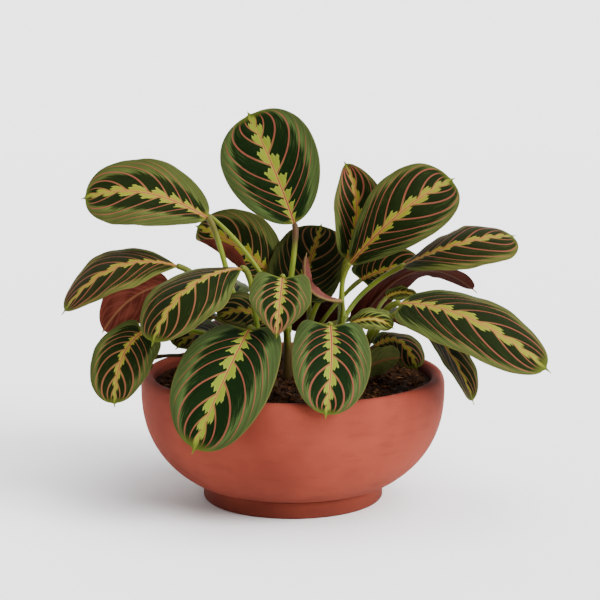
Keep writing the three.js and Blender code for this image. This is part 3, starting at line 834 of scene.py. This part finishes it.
def blade(size, number):
    """A blade as one closed sheet. Its rows run along the parabola of the midrib and its columns across: each half
    is an arc that leaves a small trough at the midrib by its fold and turns on by its curl, with a slow wave along
    the edge. The upper skin is lifted between the side veins and the lower one thickened along the midrib. Gives
    the points, the quads of the upper side, the underside and the rim, and two rows of what a point's material
    reads: its place across from -1 to 1, its share of the length and the half width there; then the blade's number,
    its veins' offset and its length."""
    share = np.linspace(0, 1, ROWS)
    along = (0.25 * share + 0.75 * (1 - np.cos(math.pi * share)) / 2)[:, None]
    even = np.linspace(-1, 1, COLUMNS)[None, :]
    across = np.sin(even * math.pi / 2) * 0.4 + even * 0.6
    rib, tangent = curve(midrib(size), along)
    turn, up = np.radians(size["face"])
    face = np.array([math.cos(up) * math.sin(turn), -math.cos(up) * math.cos(turn), math.sin(up)])
    side = np.cross(tangent, face)
    side /= np.linalg.norm(side, axis=-1, keepdims=True)
    normal = np.cross(side, tangent)
    half = half_width(size, along)
    hand = (across > 0).astype(int)
    reach = np.abs(across) * half
    curl = np.radians(np.array(size["curl"], float))[hand] * reach / size["width"]
    bend = np.radians(np.array(size["fold"], float))[hand] * (1 - FOLD_FADE * along) + curl
    chord = np.sinc(curl / math.pi)
    trough = np.sqrt(reach**2 + MIDRIB_ROUND**2) - MIDRIB_ROUND
    wave = EDGE_WAVE * across**2 * np.sin(2 * math.pi * EDGE_WAVES * along + WAVE_SHIFT * number)
    wave += EDGE_RIPPLE * across**4 * np.sin(2 * math.pi * EDGE_RIPPLES * along + 2.3 * number + 2 * hand)
    pulled = across**2 * (along / LOBE_AT) * np.exp(1 - along / LOBE_AT)
    spot = rib - tangent[:1] * size["lobe"] * pulled[..., None]
    spot = spot + side * (np.sign(across) * reach * chord * np.cos(bend))[..., None]
    spot = spot + normal * (trough * chord * np.sin(bend) + wave * half * 2 / size["width"])[..., None]
    ahead = np.gradient(spot, axis=0)
    ahead[0] = tangent[0]
    right = np.gradient(spot, axis=1)
    out = np.cross(right, ahead)
    out /= np.linalg.norm(out, axis=-1, keepdims=True)
    offset = (number * OFFSET_STEP) % 1
    part = vein_count(along, across, offset) % 1
    near = np.minimum(part, 1 - part)
    span = np.clip(half / (size["width"] / 2), 0, 1)
    quilt = QUILT * (1 - np.exp(-((near / QUILT_EDGE) ** 2))) * np.clip(1 - np.abs(across) ** 5, 0, 1) * span
    quilt = quilt * np.clip(reach / 3, 0, 1)
    thin = HALF_THICKNESS * (1 - EDGE_THINNING * across**6)
    rib_out = RIB_DEPTH * (1 - along) ** 1.3 * np.exp(-((reach / RIB_HALF) ** 2))
    groove = GROOVE_DEPTH * np.exp(-((reach / GROOVE_HALF) ** 2)) * (1 - along)
    upper = spot + out * (thin + quilt - QUILT * 0.6 - groove)[..., None]
    lower = spot + out * (quilt - QUILT * 0.6 - thin - rib_out)[..., None]
    grid = np.arange(ROWS * COLUMNS).reshape(ROWS, COLUMNS)
    under = grid + ROWS * COLUMNS
    top = np.stack([grid[:-1, :-1], grid[:-1, 1:], grid[1:, 1:], grid[1:, :-1]], -1).reshape(-1, 4)
    low = np.stack([under[:-1, :-1], under[1:, :-1], under[1:, 1:], under[:-1, 1:]], -1).reshape(-1, 4)
    strip = lambda a, b: np.stack([a[:-1], a[1:], b[1:], b[:-1]], -1)
    rim = np.concatenate([
        strip(grid[:, 0], under[:, 0]), strip(under[:, -1], grid[:, -1]),
        strip(under[0], grid[0]), strip(grid[-1], under[-1]),
    ])
    points = np.concatenate([upper.reshape(-1, 3), lower.reshape(-1, 3)])
    one = np.stack([across + 0 * along, along + 0 * across, half + 0 * across], -1).reshape(-1, 3)
    length = np.linalg.norm(np.diff(rib[:, 0], axis=0), axis=1).sum()
    kind = np.tile([number, offset, length], (2 * ROWS * COLUMNS, 1))
    return points, top, low, rim, np.concatenate([one, one]), kind


class BladeFinish(Finish):
    """What both sides of a blade share: where a point lies between the side veins, as vein_count gives it, and how
    far it is from the nearest one and from the midrib in millimetres."""

    def __init__(self, name, **constants):
        super().__init__(name, **constants)
        self.across, self.along, self.half = self.marked("blade")
        self.number, offset, self.length = self.marked("kind")
        self.out = abs(self.across)
        widen = 1 + VEIN_SPREAD * self.out
        self.start = (self.along - VEIN_LEAN * self.out - VEIN_BOW * self.out**VEIN_BOW_POWER) / widen
        right = self.across.math("GREATER_THAN", 0.0)
        sway = VEIN_SWAY * (2 * math.pi * self.start).math("SINE")
        self.part = (VEINS * (self.start + sway) + offset + RIGHT_SHIFT * right).math("FRACT")
        near = 0.5 - abs(self.part - 0.5)
        slope = VEIN_LEAN + VEIN_BOW_POWER * VEIN_BOW * self.out ** (VEIN_BOW_POWER - 1) + VEIN_SPREAD * self.start
        slant = slope * self.length / self.half.most(3.0)
        self.vein_mm = near * self.length * widen / (VEINS * (1 + slant * slant).math("SQRT"))
        self.vein_mm += 3 * self.start.falls(-0.03, 0.02)  # no vein leaves the stalk
        self.rib_mm = self.out * self.half
        self.light, self.olive, self.red = self.marked("look")
        self.dark, self.lobe, self.run = self.marked("zone")
        self.streaks = self.noise(self.three(self.start * 62, self.out * 2.0, self.number + 20 * right), 1.0, 2.0, 0.6)
        self.fine = self.noise(self.three(self.start * 150, self.out * 4.5, self.number + 20 * right), 1.0, 2.0, 0.6)
        self.ragged = self.noise(self.three(self.along * 60, self.across * 9, self.number), 1.0, 1.0, 0.5)
        self.cloud = self.noise(self.three(self.along * 3, self.across * 2, self.number), 1.0, 2.0, 0.5)


top_skin = BladeFinish("blade_upper", Specular_IOR_Level=0.01)
out, along, part, olive = top_skin.out, top_skin.along, top_skin.part, top_skin.olive
streaks, fine, vein_mm, rib_mm = top_skin.streaks, top_skin.fine, top_skin.vein_mm, top_skin.rib_mm

# the ground: dark between the veins, ending in light feathers that run along them, then a green border
FEATHER_LENGTH = 0.22
# the olive shift of the greens is partly the blade's own tint and partly a painted sheen on blades seen at a slant
green = top_skin.paint(srgb(47, 58, 29), srgb(62, 63, 27), olive)
pale = top_skin.paint(srgb(67, 88, 44), srgb(86, 89, 38), olive)
dark = top_skin.paint(srgb(12, 25, 8), srgb(24, 28, 8), olive)
dark_edge = top_skin.dark - 0.05 + 0.09 * (math.pi * part).math("SINE") + 0.45 * (streaks - 0.5)
inside = (dark_edge - out).rises(-0.05, 0.05)
feather = (dark_edge + FEATHER_LENGTH - out).rises(0, 0.2) * (1 - inside)
colour = top_skin.paint(green, pale, 0.75 * feather * fine.rises(0.42, 0.62) + 0.2 * fine.rises(0.5, 0.7))
colour = top_skin.paint(colour, dark, inside)
colour = top_skin.paint(colour, pale, 0.4 * inside * out.rises(0.3, 0.6) * fine.rises(0.54, 0.7))
colour = top_skin.shade(colour, 1.1 - 0.22 * part.falls(0.1, 0.75))

# the lime lobes: each fills the corner between the midrib and a side vein, is cut off square to the midrib, and has
# a toothed end
TEETH = 3.4
TOOTH_LENGTH = 0.05
tooth = (part * TEETH + 0.3).math("FRACT")
cut = 0.05 + (0.88 - part) / (VEINS * (VEIN_LEAN + VEIN_SPREAD * top_skin.start.most(0.0)))
reach = top_skin.lobe * (0.12 + 0.34 * part).least(cut).most(0.045)
lime_edge = reach + TOOTH_LENGTH * (tooth - 0.5) * part.rises(0.1, 0.3) + 0.02 * (top_skin.ragged - 0.5)
lime_in = lime_edge - out
lime = lime_in.rises(-0.008, 0.008)
lime_colour = top_skin.paint(srgb(102, 112, 33), srgb(114, 104, 32), olive)
colour = top_skin.paint(colour, lime_colour, lime)
colour = top_skin.paint(colour, srgb(130, 142, 70), 0.5 * lime * lime_in.falls(0.004, 0.022))
colour = top_skin.paint(colour, srgb(74, 82, 28), 0.8 * along.rises(0.9, 0.97))
colour = top_skin.paint(colour, srgb(88, 92, 34), 0.6 * along.falls(0.01, 0.05))

# the side veins and the midrib, each with a paler border, thinner towards the edge and the tip
VEIN_HALF = 0.33
vein_half = VEIN_HALF * (1 - 0.35 * out)
fade = (top_skin.run - out).rises(0, 0.16) * (0.35 + 0.65 * top_skin.red) * along.falls(0.88, 0.95)
vein_border = top_skin.paint(srgb(114, 112, 50), srgb(106, 74, 42), top_skin.red)
vein_core = top_skin.paint(srgb(101, 107, 46), srgb(111, 51, 48), top_skin.red)
vein_border = top_skin.paint(vein_border, srgb(138, 122, 52), out.falls(0.1, 0.35))
colour = top_skin.paint(colour, vein_border, 0.7 * fade * vein_mm.falls(vein_half * 0.9, vein_half * 1.9))
colour = top_skin.paint(colour, vein_core, 0.92 * fade * vein_mm.falls(vein_half * 0.6, vein_half * 1.25))
rib_half = (0.6 - 0.4 * along).most(0.22)
flush = 0.6 * olive * rib_mm.falls(rib_half + 0.3, rib_half + 2.4) * along.falls(0.6, 0.9)
colour = top_skin.paint(colour, srgb(132, 80, 36), flush)
rib_border = 0.75 * rib_mm.falls(rib_half + 0.25, rib_half + 0.6) * along.falls(0.75, 0.92)
colour = top_skin.paint(colour, srgb(146, 116, 48), rib_border)
rib_red = top_skin.paint(vein_core, srgb(97, 106, 34), along.rises(0.7, 0.88))
colour = top_skin.paint(colour, rib_red, rib_mm.falls(rib_half * 0.65, rib_half * 1.1))
colour = top_skin.paint(colour, srgb(84, 76, 38), 0.6 * out.rises(0.965, 0.99))
# painted light and shade: the blade's lightness from LOOKS darkens blades that lie in the shade of others, times a
# soft random cloud of tone
colour = top_skin.shade(colour, top_skin.light * (0.88 + 0.24 * top_skin.cloud))
top_skin.finish(colour, 0.42 + 0.14 * top_skin.cloud, fine + 0.8 * vein_mm.falls(0.2, 1.0), 0.0001)

# the underside: maroon, streaked and veined, but still green on the youngest blades
low_skin = BladeFinish("blade_under", Specular_IOR_Level=0.01)
out = low_skin.out
colour = low_skin.paint(srgb(58, 24, 17), srgb(80, 38, 28), low_skin.cloud.rises(0.35, 0.65))
colour = low_skin.paint(colour, srgb(92, 48, 42), 0.6 * low_skin.streaks.rises(0.5, 0.7) * out.falls(0.2, 0.7))
colour = low_skin.paint(colour, srgb(92, 46, 38), 0.4 * low_skin.vein_mm.falls(0.35, 0.9) * out.falls(0.8, 0.96))
young_green = low_skin.paint(srgb(54, 66, 30), srgb(74, 84, 44), low_skin.streaks.rises(0.4, 0.65))
colour = low_skin.paint(colour, young_green, low_skin.red.falls(0.1, 0.5))
colour = low_skin.paint(colour, srgb(98, 64, 42), 0.85 * low_skin.rib_mm.falls(0.8, 1.4))
# painted shade: the underside takes the same lightness from LOOKS
colour = low_skin.shade(colour, low_skin.light)
low_skin.finish(colour, 0.5 + 0.1 * low_skin.cloud, low_skin.fine, 0.0001)

# the youngest leaf is still rolled up and has no pattern yet, only a pink flush
bud_skin = BladeFinish("blade_young", Specular_IOR_Level=0.04)
colour = bud_skin.paint(srgb(66, 32, 26), srgb(94, 52, 44), bud_skin.streaks.rises(0.35, 0.65))
colour = bud_skin.paint(colour, srgb(104, 84, 52), bud_skin.rib_mm.falls(0.5, 1.2))
bud_skin.finish(colour, 0.45 + 0.1 * bud_skin.cloud, bud_skin.fine, 0.0001)

number = 0
for shoot in LEAVES.values():
    for name, size in shoot.items():
        number += 1
        points, top, low, rim, where, kind = blade(size, number)
        made = piece("blade_" + name, points, top, low, rim)
        mark(made, "blade", where)
        mark(made, "kind", kind)
        mark(made, "look", np.tile(LOOKS.get(name, PLAIN_LOOK), (len(kind), 1)))
        mark(made, "zone", np.tile(ZONES.get(name, PLAIN_ZONE), (len(kind), 1)))
        for skin in (bud_skin, bud_skin) if name == "young" else (top_skin, low_skin):
            made.data.materials.append(skin.material)
        under = np.concatenate([np.zeros(len(top)), np.ones(len(low)), np.zeros(len(rim))]).astype(np.int32)
        made.data.polygons.foreach_set("material_index", under)
        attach(made, "root")
        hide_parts("leaf_" + name)
